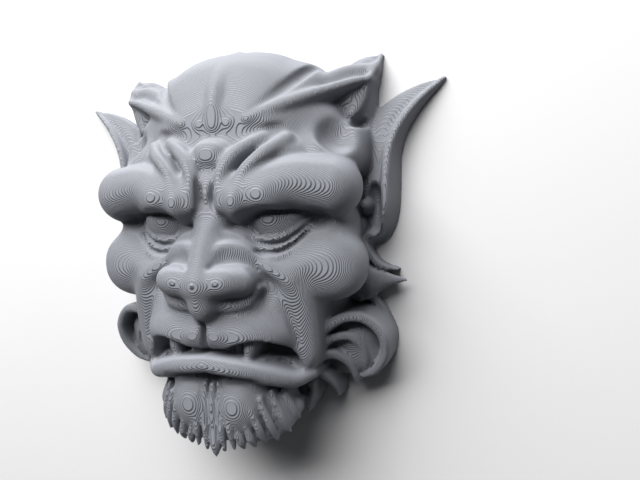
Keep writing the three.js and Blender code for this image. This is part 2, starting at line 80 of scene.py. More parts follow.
LAYER = 0.2 * MM  # height of one printed layer
EDGE = 0.5 * MM  # width of the rounded edge of a layer on a shallow slope,
WIDEST_EDGE = 0.55  # and at most this share of the layer's visible width
LAYER_TINT = 0.37  # how far apart two layers are in the noise that tints them
CLOUDS = 45  # soft patches of tone to a metre
GRAINS = 1400  # grains of the matt surface to a metre
GRAIN_DEPTH = 0.04 * MM
GREY = (0.158, 0.166, 0.187, 1)
LAYER_EDGE_PAINTED_SHADOW = 0.30  # painted shadow: the edge of each layer is painted this share of the grey, for the shade that its small step casts
PALE = (0.49, 0.49, 0.50, 1)

# the window is past the top of the head, a little to the left
WINDOW_PLACE = (-0.21, 0.66, 0.45)
WINDOW_SIZE = 0.9
WINDOW_POWER = 33
WINDOW_COLOUR = (1.0, 0.995, 0.985)
ROOM_COLOUR = (0.93, 0.95, 1, 1)
ROOM_GLOW = 0.08

# the camera stands to the right of the face, nearly over the chin
NOSE_TIP = 0.414  # height of the tip of the nose, as a share of the mask's
CAMERA_PLACE = (0.0777, 0.0193, 0.1634)  # from the point of the table below the tip of the nose
CAMERA_AHEAD = (-0.323, -0.052, -0.945)
CAMERA_UP = (0.0068, 0.998, -0.057)
SENSOR = 36.0  # width of the camera's sensor, in millimetres
LENS = 30.94  # focal length, in millimetres

TABLE_SHARE = 30  # the table is this many times as wide as the mask


def smooth(points):
    """A curve through the points, with their last column, the radius, carried along."""
    knots = np.array(points, float)
    ends = np.vstack([2 * knots[0] - knots[1], knots, 2 * knots[-1] - knots[-2]])
    curve = []
    for a, b, c, d in zip(ends, ends[1:], ends[2:], ends[3:]):
        for t in np.arange(PIECES_OF_CURVE) / PIECES_OF_CURVE:
            bend = (2 * a - 5 * b + 4 * c - d) * t**2 + (3 * b - a - 3 * c + d) * t**3
            curve.append(b + 0.5 * ((c - a) * t + bend))
    curve.append(knots[-1])
    return np.array(curve)


def turned(offset, degrees):
    """Offsets from a centre, seen from a shape that is turned about the x, y and z axes."""
    spin = Matrix.Rotation(math.radians(degrees[0]), 3, "X")
    spin = spin @ Matrix.Rotation(math.radians(degrees[1]), 3, "Y")
    spin = spin @ Matrix.Rotation(math.radians(degrees[2]), 3, "Z")
    rows = spin.transposed()
    return [sum(part * way for part, way in zip(offset, row)) for row in rows]


def smoothstep(share):
    """Eases from 0 to 1."""
    share = np.clip(share, 0, 1)
    return share**2 * (3 - 2 * share)


class Form:
    """Distances to the surface of the face on a grid of points, negative inside. Only one half is
    carved."""

    def __init__(self):
        self.axes = [np.arange(low, high, CELL, np.float32) for low, high in zip(LOW, HIGH)]
        self.field = np.full([len(axis) for axis in self.axes], REACH, np.float32)

    def shape(self, low, high, blend, is_cut, distance_to):
        """Joins a shape on, or cuts it away, where it comes near the points of the grid."""
        near = []
        for axis, start, end in zip(self.axes, low, high):
            first, last = np.searchsorted(axis, [start - REACH - blend, end + REACH + blend])
            near.append(slice(first, last))
        near = tuple(near)
        x, y, z = np.ix_(*[axis[part] for axis, part in zip(self.axes, near)])
        away = distance_to(x, y, z)
        old = self.field[near]
        if is_cut:
            self.field[near] = -smooth_min(-old, away, blend)
        else:
            self.field[near] = smooth_min(old, away, blend)

    def lump(self, centre, radii, blend, power, turn, is_cut):
        """A rounded lump: power 2 is an ellipsoid, and more is boxier. Turn is in degrees about each
        axis."""
        centre = np.array(centre, float)
        size = np.full(3, max(radii)) if turn else np.array(radii)

        def distance_to(x, y, z):
            offset = [x - centre[0], y - centre[1], z - centre[2]]
            if turn:
                offset = turned(offset, turn)
            shares = [abs(part / radius) + TINY for part, radius in zip(offset, radii)]
            level = sum(share**power for share in shares) ** (1 / power)
            slopes = [share ** (power - 1) / radius for share, radius in zip(shares, radii)]
            slope = np.sqrt(sum(slope**2 for slope in slopes))
            return (level - 1) * level ** (power - 1) / slope

        self.shape(centre - size, centre + size, blend, is_cut, distance_to)

    def blob(self, centre, radii, blend=2, power=2, turn=None):
        """Joins a rounded lump on."""
        self.lump(centre, radii, blend, power, turn, False)

    def dent(self, centre, radii, blend=1.5, power=2, turn=None):
        """Cuts a rounded lump away."""
        self.lump(centre, radii, blend, power, turn, True)

    def stroke(self, points, blend=1, wall=None, flat=1, is_cut=False):
        """A ridge through [across, up, out, radius] points. With a wall it reaches down to the back,
        and grows by that share of the way down. Flat is how much shorter than wide its section
        counts as."""
        path = smooth(points)
        grow = path[:, 3].max() / min(flat, 1)
        low = path[:, :3].min(0) - grow
        high = path[:, :3].max(0) + grow
        if wall is not None:
            low = low - [wall * high[2], wall * high[2], 0]
            high = high + [wall * high[2], wall * high[2], 0]
            low[2] = LOW[2]

        def distance_to(x, y, z):
            pieces = [to_piece(x, y, z, a, b, wall, flat) for a, b in zip(path, path[1:])]
            return np.minimum.reduce(pieces)

        self.shape(low, high, blend, is_cut, distance_to)

    def groove(self, points, blend=0.8, flat=1):
        """Cuts a groove along [across, up, out, radius] points."""
        self.stroke(points, blend, None, flat, True)

    def strand(self, root, tip, blend=0.5):
        """A lock of the beard that is widest, and stands a little proud, somewhat past its middle."""
        between = [0.4 * a + 0.6 * b for a, b in zip(root, tip)]
        between[2] += PROUD
        self.stroke([root + [LOCK_END], between + [LOCK_MIDDLE], tip + [LOCK_END]], blend)

    def settle(self):
        """A print is built up from its back, so what hangs over is carried by a wall. The wall leans
        in below the mouth and, below the brows, at the sides."""
        across, up, out = self.axes
        is_chin = smoothstep((CHIN - up) / FURTHER)[None, :]
        is_side = smoothstep((across - SIDE) / FURTHER)[:, None]
        is_low = smoothstep((BROWS - up) / FURTHER)[None, :]
        step = LEAN * CELL * np.maximum(is_chin, is_side * is_low)
        for k in range(len(out) - 2, -1, -1):
            self.field[:, :, k] = np.minimum(self.field[:, :, k], self.field[:, :, k + 1] + step)

    def surface(self):
        """Corners and four-sided faces of the surface, mirrored to both halves."""
        across, up, out = self.axes
        field = np.concatenate([self.field[:0:-1], self.field])
        field = np.maximum(field, -out)
        number, places = crossed_cells(field)
        corners = places * CELL + [-across[-1], up[0], out[0]]
        return corners, faces_between(field < 0, number)


def shifted(values, axis):
    """The values at the near and the far end of every grid edge along an axis."""
    size = values.shape[axis]
    return np.take(values, range(size - 1), axis), np.take(values, range(1, size), axis)


def crossed_cells(field):
    """A number for each cell that the surface runs through, or -1, and the mean place, in cells, at
    which it crosses their edges."""
    total = np.zeros([size - 1 for size in field.shape] + [3], np.float32)
    count = np.zeros(total.shape[:3], np.float32)
    for axis in range(3):
        near, far = shifted(field, axis)
        crossed = (near < 0) != (far < 0)
        share = np.where(crossed, near / np.where(crossed, near - far, 1), 0)
        beside = [other for other in range(3) if other != axis]
        for starts in np.ndindex(2, 2):
            part = [slice(None)] * 3
            for other, start in zip(beside, starts):
                part[other] = slice(start, field.shape[other] - 1 + start)
            part = tuple(part)
            total[..., axis] += share[part]
            for other, start in zip(beside, starts):
                total[..., other] += start * crossed[part]
            count += crossed[part]
    used = count > 0
    number = np.full(used.shape, -1)
    number[used] = np.arange(used.sum())
    return number, np.argwhere(used) + total[used] / count[used][:, None]


def faces_between(inside, number):
    """One face for every grid edge that crosses the surface, between the four cells around it."""
    faces = []
    for axis in range(3):
        near, far = shifted(inside, axis)
        one, two = [np.eye(3, dtype=int)[(axis + turn) % 3] for turn in (1, 2)]
        for is_leaving in (True, False):
            edges = np.argwhere(near & ~far if is_leaving else ~near & far)
            edges = edges[(edges + one + two > 0).all(1)]
            ring = [one + two, two, 0 * one, one]
            face = np.stack([number[tuple((edges - corner).T)] for corner in ring], 1)
            faces.append(face if is_leaving else face[:, ::-1])
    return np.concatenate(faces)


def smooth_min(a, b, soft):
    """The lesser of two distances, with the corner between them rounded off."""
    share = np.clip(0.5 + (a - b) / (2 * soft), 0, 1)
    return np.clip(a + (b - a) * share - soft * share * (1 - share), -REACH, REACH)


def to_piece(x, y, z, start, end, wall, flat):
    """Distance to one tapered piece of a ridge."""
    dx, dy, dz = end[:3] - start[:3]
    tall = flat if wall is None else 0
    along = (x - start[0]) * dx + (y - start[1]) * dy + tall**2 * (z - start[2]) * dz
    share = np.clip(along / (dx**2 + dy**2 + (tall * dz) ** 2 + TINY), 0, 1)
    radius = start[3] + share * (end[3] - start[3])
    rise = z - start[2] - share * dz
    side = (x - start[0] - share * dx) ** 2 + (y - start[1] - share * dy) ** 2
    if wall is None:
        return np.sqrt(side + (rise * flat) ** 2) - radius
    over = np.maximum(rise, 0) * flat
    return np.sqrt(side + over**2) - radius - wall * np.maximum(-rise, 0)


def head(form):
    """Skull, temples, jaw and chin in the rough."""
    form.blob([0, 36, 2], [30, 32.8, 24.4], blend=2, power=2.6)
    form.blob([20.5, 50, 4], [9, 13.5, 14], blend=3, power=2.4)
    form.blob([0, 12, 0], [37, 30, 25], blend=5, power=3)
    form.blob([25, 38, 4], [9.5, 13, 14], blend=4, power=3)
    form.blob([33.4, 37, 4], [7.2, 8.5, 10.6], blend=3, power=2.8)
    form.blob([28, 35.4, 13], [9.5, 7, 9.6], blend=4)
    form.blob([0, -10, 2], [27.5, 29, 27], blend=5, power=2.4)
    form.blob([0, -33, 12], [18.5, 11, 15], blend=4, power=2.2)
    form.blob([9, 6, 20], [12, 14, 10], blend=3)
    form.blob([9, 31, 17], [12, 8, 9.6], blend=3)


def cap(form):
    """Lobes of the skull, down to a step above the wrinkles."""
    # front of the skull: a level, lobed band that ends above the wrinkles
    form.blob([0, 46.5, 16], [10, 6.5, 10.4], blend=2, power=2.6)
    form.blob([8.5, 46.5, 16.6], [7, 6.5, 9], blend=2)
    form.blob([14.5, 44.6, 17], [6, 5, 8], blend=2)
    form.stroke([[0, 66, 8, 3], [0, 58, 19.4, 3.2], [0, 51, 23.8, 3],
                 [0, 44, 24.6, 2.4]], blend=1.2)
    form.blob([4.6, 44.6, 22.4], [2.6, 2.4, 4.2], blend=1)
    # step between the skull and the pointed lock
    form.groove([[8, 44.8, 28, 0.7], [12.6, 48, 26.4, 1.4], [17.6, 52.4, 22.8, 1.8],
                 [22.2, 57.4, 17, 1.8], [25.6, 61.8, 9.5, 1.4]], blend=0.8)
    form.groove([[0, 41.4, 28.2, 1.3], [8, 41.4, 27.6, 1.3], [14.5, 42.2, 25.8, 1.3],
                 [20, 43.2, 23.4, 1]], blend=0.8)


def flap(form):
    """Pointed lock at the side of the head, with the hollow below it."""
    # top face of the lock, between the crest and the back edge
    form.stroke([[10.5, 45.4, 25.2, 1.4], [17, 48.2, 22.6, 1.8], [24, 51.2, 18.4, 1.9],
                 [31, 54, 13.8, 1.5], [36.5, 56, 10.6, 1.2],
                 [40.4, 57, 8.4, 0.8]], blend=1.2, wall=0.1)
    form.stroke([[40.6, 57.2, 8.2, 0.8], [42, 61, 4.6, 0.8],
                 [42.8, 65, 0.6, 0.7]], blend=0.8, wall=0)
    form.stroke([[24, 55.6, 11, 2.6], [29, 57.4, 8.4, 2.6], [34, 59.6, 5.8, 2.4],
                 [40.4, 60.4, 3.8, 1.8]], blend=2, wall=0)
    form.stroke([[32, 61, 1.2, 1.2], [36, 63.4, 0.6, 1.2], [42.6, 65.2, 0, 0.5]], blend=1, wall=0)
    # outer wall of the lock, running down to the ear
    form.stroke([[40.4, 57.2, 7.6, 0.9], [39, 53.2, 7.2, 1.1], [37.2, 49.6, 7.4, 1.3],
                 [35.4, 47.2, 8.4, 1.4]], blend=1, wall=0.12)
    form.blob([36, 54.5, 0], [5, 8, 6.5], blend=1.5, power=2.6)
    form.blob([33.4, 52.4, 0], [7, 6.6, 9.4], blend=2, power=2.6)
    form.blob([38.5, 62.3, 0], [3.6, 2.6, 3.6], blend=1)
    form.blob([37.2, 47.6, 0], [4.4, 8, 6], blend=2)
    # scoop below the lock, with its outer post
    form.blob([34.4, 39.6, 3], [4.8, 5.4, 10.4], blend=1, power=4)
    form.dent([34, 41, 18.4], [5.8, 5.6, 5.4], blend=2.5)
    form.dent([38.2, 44.8, 11.5], [2.9, 2, 7.5], blend=0.4, power=2.6)


def wrinkles(form):
    """Wrinkles of the forehead."""
    # two ridges on each side that run from between the brows up and outwards, and a lobe between them
    form.blob([0, 33.6, 21.4], [13, 5.8, 7.6], blend=2, power=2.4)
    form.blob([17.5, 35.4, 18.4], [9, 5.6, 8.4], blend=2)
    form.blob([0, 35.6, 25.6], [6, 4.6, 5.4], blend=1.5, power=2.4)
    form.stroke([[4.9, 21.7, 31.2, 2.2], [4.3, 27.4, 30.8, 2.2], [5.2, 31.2, 30.2, 2.2],
                 [7.4, 34.8, 29, 2.2], [10.6, 37.5, 27.2, 2.1], [14.3, 39.7, 24.8, 1.8]], blend=1.6)
    form.stroke([[9.4, 25, 31, 2.2], [10.4, 28.2, 30.6, 2.2], [12.8, 31.6, 29.8, 2.3],
                 [16.7, 35.6, 27.6, 2.3], [20.9, 39.4, 23.4, 1.9]], blend=1.6)
    form.groove([[7.4, 25.4, 34.2, 0.7], [7.8, 28.6, 33.2, 0.9], [8.8, 32, 32, 1],
                 [11.4, 34.8, 30.6, 1], [14.8, 37.7, 28, 0.9], [17.6, 39.8, 25.8, 0.6]], blend=0.5)
    form.groove([[12.2, 26.4, 34, 0.7], [13.2, 29.2, 32.8, 1], [16.4, 32, 31, 1.1],
                 [21, 34.8, 28, 1], [25, 37.4, 24.8, 0.6]], blend=0.8)


def brow(form):
    """Heavy brow."""
    form.stroke([[7.5, 24, 26.6, 7], [15.5, 25.2, 26.2, 7.2], [23.5, 27.2, 24.2, 7.5],
                 [33, 25.9, 21.6, 8.5]], blend=1.5)
    form.blob([9, 22.6, 27], [4.8, 6.2, 7.6], blend=1.2)
    form.blob([16.5, 24, 26.4], [6.2, 6.4, 7.4], blend=1.5)
    # middle of the brows: a thin ridge between two grooves
    form.blob([0, 25, 26], [4, 8, 5.8], blend=2)
    form.groove([[2.3, 31.6, 33, 0.6], [2.2, 27.5, 32.2, 1], [2, 21.7, 31.4, 1.1],
                 [3.2, 18.4, 31, 0.7]], blend=0.4, flat=0.6)


def eye(form):
    """Eye socket with the eyeball in it."""
    form.blob([31, 15.5, 14], [7.5, 8, 8], blend=3)
    form.dent([17.5, 14.4, 34], [10.5, 6.6, 9.4], blend=1.2, turn=[0, 14, 0])
    form.dent([18.5, 9.6, 33.4], [9.5, 6, 7.4], blend=1.5, turn=[0, 16, 0])
    form.dent([24.5, 12.4, 31], [6.5, 6.5, 7], blend=1.5, turn=[0, 20, 0])
    form.dent([29.4, 16.2, 26], [5.2, 3.8, 5.6], blend=1.5)
    form.blob([16.8, 18.2, 19.2], [9.6, 8.6, 9.2], blend=0.3)
    form.groove([[9.6, 16.6, 29, 0.6], [12.4, 18, 28.4, 0.8], [15.4, 19.3, 28.4, 0.8],
                 [20.7, 19.7, 27.6, 0.8], [26.2, 19.7, 24.2, 0.7]], blend=0.3, flat=0.5)


def cheek(form):
    """Round cheek."""
    form.blob([22.5, 4.4, 19], [8.5, 5, 9.4], blend=3)
    form.blob([30.2, 4.8, 19.4], [12, 10.2, 7.8], blend=4, power=2.2)
    form.blob([30, 5, 10], [9, 9.6, 12], blend=2, power=2.4)


def nose(form):
    """Bridge, tip and wings of the nose."""
    form.blob([0, 5, 24], [15, 11, 10], blend=3)
    form.blob([0, 14.6, 25.6], [5.8, 8.6, 6.2], blend=1.5, power=3)
    form.blob([4.6, 7.4, 28], [8, 5.6, 5], blend=3)
    form.stroke([[0, 14, 29.6, 3.6], [0, 8.5, 32.6, 3.8], [0, 1.5, 34.2, 5.4]], blend=2)
    form.blob([0, 0, 33.4], [6.4, 5.8, 6.5], blend=1.5)
    form.stroke([[3.5, 0.8, 34.4, 4.6], [7.4, 1.4, 35, 4.2], [10.8, 1.4, 32.8, 4.2]], blend=1.2)
    form.blob([0, -4.6, 33.4], [4.6, 5.4, 5.2], blend=1.2)
    form.blob([6.5, -4.8, 28.2], [8.4, 3.8, 6.2], blend=2)
    form.dent([10, -3.9, 35.4], [2.8, 0.7, 2.2], blend=0.6)
    form.stroke([[0, -4, 35, 3.4], [0, -8.4, 35.2, 1.6]], blend=1.2)
    form.stroke([[4.6, -6.2, 33.4, 0.8], [8.6, -5.8, 33, 0.9], [12.4, -4.2, 32, 1],
                 [14.6, -0.8, 31.2, 1]], blend=0.8, wall=0.1)
    # wrinkles that run from the root of the nose down past the wings
    form.stroke([[2.3, 14.1, 30.6, 1.1], [8.3, 12.7, 29.2, 1.1], [15.4, 7.6, 27, 1.2],
                 [20.4, 5.2, 26.8, 1.2], [25.4, 3.1, 26.4, 1.2]], blend=0.8)
    form.stroke([[1.5, 5.4, 34.4, 1.6], [2.9, 8.4, 33.4, 1.6], [5.6, 10.2, 32.2, 1.6],
                 [10.2, 9.6, 30.4, 1.6], [14, 6.8, 28.8, 1.6], [18.6, 4, 27.8, 1.6],
                 [22.9, 1.8, 27.2, 1.6]], blend=0.8)
    form.groove([[3.6, 5.2, 37, 0.8], [6.4, 7.2, 34.6, 1], [10.6, 7, 33, 1],
                 [14.4, 4.4, 31.8, 0.9]], blend=0.8)


def lids(form):
    """Lower lid and the folds under it."""
    # lower lid and the two folds below it, with a groove between them
    for drop, out in ((0, 0), (2.5, 0.7), (4.9, 1.2)):
        form.stroke([[9.6, 14.6 - drop, 26.8 + out, 0.7], [13.4, 12.4 - drop, 26.9 + out, 0.9],
                     [19.3, 12.4 - drop, 26.3 + out, 1], [23.8, 14.8 - drop, 24.6 + out, 0.9],
                     [27.2, 18.4 - drop, 21.4 + out, 0.6]], blend=0.5, wall=0)
    for drop, out in ((0, 0), (2.5, 0.8)):
        form.groove([[11.2, 12.9 - drop, 28.6 + out, 0.5], [14, 11.2 - drop, 28 + out, 0.7],
                     [19.3, 11.1 - drop, 27.2 + out, 0.8], [23.8, 13.4 - drop, 25.5 + out, 0.7],
                     [27.4, 17 - drop, 22.4 + out, 0.5]], blend=0.3, flat=0.6)


def muzzle(form):
    """Upper lip in the rough."""
    form.blob([8, -13.6, 23.2], [15.5, 9, 11.8], blend=2)
    form.blob([0, -12.6, 28], [6, 7, 7.2], blend=2)
    form.blob([3.4, -13.6, 30], [4.8, 4, 5.8], blend=1.5)
    form.stroke([[14, -11, 23, 8], [18.8, -13.6, 21.8, 6.6], [22, -19, 20.2, 4.4]], blend=2)
    form.blob([19, -6, 20], [7, 10, 8.6], blend=3)


def folds(form):
    """Folds round the mouth, and the groove in the middle of the upper lip."""
    # fold from the nose round the mouth, and the groove inside it
    form.groove([[13.8, 4.6, 32.8, 0.8], [17, 1.6, 32, 1.2], [20, -2.6, 30.6, 1.4],
                 [22.2, -7.6, 28.8, 1.4], [23.4, -12.6, 27.2, 1.2], [24, -17, 25.8, 0.8]], blend=1.5)
    form.stroke([[17.6, 4.6, 28.4, 1.2], [21.4, 2, 27.4, 1.9], [24.4, -2.4, 25.8, 2.4],
                 [26, -8, 24.2, 2.6], [26.4, -14, 22.8, 2.6], [25.8, -19.4, 21.8, 2.7],
                 [24.2, -23, 21.2, 2.4]], blend=4, wall=0)
    form.groove([[0, -9.5, 35.6, 0.6], [0, -13, 35, 0.8],
                 [0, -18.5, 34.6, 0.8]], blend=0.2, flat=0.35)


def mouth(form):
    """Open mouth with its teeth, and the lower lip."""
    form.groove([[0, -18.6, 33, 1.1], [5.5, -18.4, 32.5, 1.3], [10, -17.7, 31.5, 2.3],
                 [14.5, -17.5, 29.8, 3], [18.6, -18.7, 28, 2.8], [21.6, -21, 26, 1.8],
                 [23.6, -23.6, 24.6, 0.8]], blend=0.5, flat=0.3)
    # teeth
    form.stroke([[11.8, -13, 29.4, 2.1], [11.6, -17.2, 30.6, 1.8],
                 [10.8, -21, 30.6, 0.9]], blend=0.3, wall=0)
    for x in (1.6, 4.4, 7.2):
        form.stroke([[x, -15.5, 28.2, 1.1], [x, -20.5, 28.2, 0.9]], blend=0.2, wall=0)
    # lower lip
    form.stroke([[0, -21.2, 34.3, 2.4], [9.5, -22.8, 32.4, 2.8], [16.5, -24.8, 28.9, 2.9],
                 [21.8, -26.6, 24.8, 2.5], [25.6, -25.8, 21, 1.8]], blend=0.6)


def beard(form):
    """Beard of short locks on the chin."""
    form.blob([6.8, -33.4, 24.4], [8.8, 10.6, 9.2], blend=3)
    form.dent([7, -26.8, 36], [10, 1.9, 5.5], blend=1.5)
    form.blob([0, -35.8, 21.8], [20.8, 8, 7.8], blend=1.5, power=2.6)
    form.stroke([[0, -42.2, 27.8, 2.6], [8, -42.4, 27, 2.6], [13.8, -41.6, 25.2, 2.6],
                 [17.8, -39.6, 23, 2.6], [20.2, -35.7, 20.4, 2.6]], blend=1.5)
    # locks fan out from below the lip, each swelling past its middle and ending in a point
    strands = [[[2, -27.5, 31.6], [2.7, -46.6, 30.6]], [[4.2, -30, 32.4], [5.6, -45.8, 30.2]],
               [[7, -39.5, 31.2], [8.2, -45.8, 29.4]], [[9.8, -38.5, 31.4], [11.2, -45.2, 28.6]],
               [[11.8, -33.5, 31.8], [14.2, -44.4, 27.8]], [[13.9, -31.2, 30.6],
               [17.2, -43.6, 26.4]], [[16.1, -29.8, 28], [20, -41.8, 24.4]], [[18.2, -29.4, 25],
               [22, -38.6, 22]]]
    for root, tip in strands:
        form.strand(root, tip, blend=0.4)
    form.stroke([[0, -28, 31.4, 0.8], [0, -34, 31.8, 1], [0, -40, 31, 1.3], [0, -45, 30.4, 1.7],
                 [0, -48.4, 30.6, 0.5]], blend=0.4)
    # lobe beside the chin
    form.stroke([[22.6, -30, 14, 2.2], [21.4, -35, 12, 2.4],
                 [19.8, -41.4, 8.6, 0.7]], blend=0.8, wall=0)
    form.dent([21.4, -33, 16.2], [1.4, 2, 2.6], blend=0.4)


def curls(form):
    """Curls beside the chin, and the spikes above them."""
    form.blob([33.5, -19.5, 0], [11.2, 11, 12.4], blend=2, power=2.5)
    form.blob([35.5, -16.5, 4], [7.4, 6.6, 9.6], blend=2)
    form.stroke([[24.4, -19, 18.6, 1.2], [26.6, -15.6, 18, 1.4], [29.8, -13, 17.4, 1.5],
                 [34, -10.8, 16.6, 1.4], [38.6, -10.6, 15.6, 1.5], [42.4, -13.2, 14, 1.5],
                 [44.6, -17.4, 12.6, 1.5], [44, -22.8, 11, 1.4], [40.8, -27.4, 9.4, 1.2],
                 [37, -29.4, 8.6, 0.8]], blend=0.5, wall=0.03)
    form.stroke([[24.6, -22, 18, 1.1], [27.2, -18.8, 16.8, 1.3], [30.4, -16.9, 15.4, 1.3],
                 [34.6, -16.6, 14, 1.2], [37.6, -19.2, 12.4, 1.1], [38.8, -23.4, 10.6, 1],
                 [37.8, -27.6, 8.6, 0.7]], blend=0.4, wall=0.05)
    form.stroke([[24.4, -24.6, 17.4, 1.1], [27, -22.4, 16.4, 1.2], [30.4, -22, 14.6, 1.3],
                 [33.6, -24.6, 12.4, 1.1], [35.2, -28.6, 10.2, 1],
                 [35.2, -32, 8.4, 0.6]], blend=0.4, wall=0.05)
    form.stroke([[23, -26.4, 17, 1.1], [25.2, -27.2, 15.6, 1.2], [27.6, -29, 13.6, 1.3],
                 [29.2, -32.6, 10.6, 1], [29.4, -36, 8.4, 0.5]], blend=0.4, wall=0.05)
    # outer rim close to the back
    form.stroke([[39, -6.5, 4, 1.2], [42.2, -10.2, 3.6, 1.2], [44.4, -15.4, 3, 1],
                 [44.6, -21, 2.4, 0.9], [42.4, -27, 2, 0.8]], blend=0.5, wall=0)
    # spikes that stand out to the side
    form.stroke([[36, -2, 5, 6], [40.5, -1.4, 4.8, 3.8], [45, -1.2, 4.8, 1.8],
                 [50.2, -1.2, 4.6, 0.4]], blend=0.8, flat=1.2)
    form.stroke([[37.4, 11, 7, 1], [39.2, 6.4, 6.4, 1], [42.4, 3, 5.6, 0.9],
                 [47, 1.8, 4.6, 0.4]], blend=0.5, wall=0)


def ear(form):
    """Pointed ear."""
    form.stroke([[59.8, 56.4, 0.2, 0.6], [54.4, 53.4, 0.6, 2.4], [49, 49.4, 0.8, 4],
                 [44.4, 44, 1.2, 5.2], [42, 35, 1.8, 5.6],
                 [40.8, 27, 2.4, 5.2]], blend=1.5, flat=1.6)
    form.stroke([[61, 56.8, 1, 0.5], [53.8, 50.6, 3.6, 0.9], [48.4, 43.6, 5.6, 1.1],
                 [45.6, 36.5, 6.8, 1.2], [44.8, 28, 7.8, 1.2], [44.4, 20.6, 8, 1.2],
                 [42.6, 14.8, 7.2, 1.2], [39, 11.4, 6, 1]], blend=0.8, wall=0.28)
    form.blob([41, 19, 0], [5.5, 10, 3], blend=1.5)
    form.dent([41, 20, 8], [2.5, 8, 6.4], blend=0.8, power=2.3)
    form.blob([38.4, 20.5, 3], [1.9, 2.6, 6], blend=0.6)
    form.blob([36.6, 14.6, 5], [1.8, 3.2, 5], blend=0.6)


PARTS = [
    head, cap, flap, wrinkles, brow, eye, cheek, nose,
    lids, muzzle, folds, mouth, beard, curls, ear,
]


def carve():
    """Half of the face, part by part, on one grid."""
    form = Form()
    for part in PARTS:
        part(form)
    form.settle()
    return form


def build_mask(name):
    """The face as a mesh, stretched to fill the box of its CAD node, with a flat back."""
    corners, faces = carve().surface()
    in_back = corners[:, 2] < NEAR_BACK
    corners[in_back, 2] = 0
    low, high = [np.array(corner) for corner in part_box(name)]
    span = corners.max(0) - corners.min(0)
    corners = low + (corners - corners.min(0)) * (high - low) / span
    faces = faces[~in_back[faces].all(1)]
    mesh = bpy.data.meshes.new("carved_mask")
    mesh.from_pydata(corners.tolist(), [], faces.tolist())
    mesh.validate()
    close_back(mesh)
    piece = bpy.data.objects.new("carved_mask", mesh)
    bpy.context.scene.collection.objects.link(piece)
    return piece


def close_back(mesh):
    """Fills the open back with flat facets and shades the rest smooth."""
    shape = bmesh.new()
    shape.from_mesh(mesh)
    loose = [corner for corner in shape.verts if not corner.link_faces]
    bmesh.ops.delete(shape, geom=loose, context="VERTS")
    for face in shape.faces:
        face.smooth = True
    rim = [edge for edge in shape.edges if edge.is_boundary]
    back = bmesh.ops.holes_fill(shape, edges=rim, sides=0)["faces"]
    back = bmesh.ops.triangulate(shape, faces=back)["faces"]
    for face in back:
        face.smooth = False
    for edge in rim:
        edge.smooth = False
    bmesh.ops.recalc_face_normals(shape, faces=shape.faces)
    shape.to_mesh(mesh)
    shape.free()


class Nodes:
    """Short calls for building a material's node tree."""

    def __init__(self, name):
        self.material = bpy.data.materials.new(name)
        self.material.use_nodes = True
        self.tree = self.material.node_tree
        self.shader = self.tree.nodes["Principled BSDF"]

    def link(self, source, target):
        self.tree.links.new(source, target)

    def fill(self, socket, value):
        """Links another node's value to a socket, or sets a plain value on it."""
        if isinstance(value, bpy.types.NodeSocket):
            self.link(value, socket)
        else:
            socket.default_value = value

    def place(self):
        """Place on the object, in metres."""
        return self.tree.nodes.new("ShaderNodeTexCoord").outputs["Object"]

    def height(self, vector):
        """The z part of a vector."""
        node = self.tree.nodes.new("ShaderNodeSeparateXYZ")
        self.link(vector, node.inputs[0])
        return node.outputs["Z"]

    def math(self, operation, *values):
        node = self.tree.nodes.new("ShaderNodeMath")
        node.operation = operation
        for socket, value in zip(node.inputs, values):
            self.fill(socket, value)
        return node.outputs[0]

    def between(self, value, low, high, start=0, end=1):
        """Turns a value from low to high into start to end, eased, and holds it beyond them."""
        node = self.tree.nodes.new("ShaderNodeMapRange")
        node.interpolation_type = "SMOOTHSTEP"
        for socket, item in zip(node.inputs, (value, low, high, start, end)):
            self.fill(socket, item)
        return node.outputs[0]

    def noise(self, where, scale, detail=3):
        node = self.tree.nodes.new("ShaderNodeTexNoise")
        self.link(where, node.inputs["Vector"])
        node.inputs["Scale"].default_value = scale
        node.inputs["Detail"].default_value = detail
        return node.outputs["Fac"]

    def mix(self, share, first, second):
        """The first colour where the share is 0, and the second where it is 1."""
        node = self.tree.nodes.new("ShaderNodeMix")
        node.data_type = "RGBA"
        self.fill(node.inputs["Factor"], share)
        self.fill(node.inputs["A"], first)
        self.fill(node.inputs["B"], second)
        return node.outputs["Result"]

    def bump(self, height, distance, strength, below=None):
        """A relief of some distance in height, on top of the relief below it."""
        node = self.tree.nodes.new("ShaderNodeBump")
        self.link(height, node.inputs["Height"])
        node.inputs["Distance"].default_value = distance
        self.fill(node.inputs["Strength"], strength)
        if below:
            self.link(below, node.inputs["Normal"])
        return node.outputs["Normal"]


def shade(colour, factor):
    """A lighter or darker colour of the same hue."""
    return tuple(channel * factor for channel in colour[:3]) + (1,)


def layer_edges(nodes, layer, facing):
    """Each layer is a level tread that ends in a rounded edge, which is as wide as the slope allows.
    Gives how far a point is down that edge, and its height over the even slope, in layers."""
    share = nodes.math("FRACT", layer)
    level = nodes.math("SUBTRACT", 1.0, nodes.math("MULTIPLY", facing, facing))
    slope = nodes.math("DIVIDE", nodes.math("SQRT", level), facing)
    edge = nodes.math("MULTIPLY", slope, EDGE / LAYER)
    edge = nodes.math("MAXIMUM", nodes.math("MINIMUM", edge, WIDEST_EDGE), LEAST)
    down = nodes.math("DIVIDE", nodes.math("SUBTRACT", 1.0, share), edge)
    riser = nodes.between(down, 0.0, 1.0, 1.0, 0.0)
    return riser, nodes.math("SUBTRACT", riser, share)


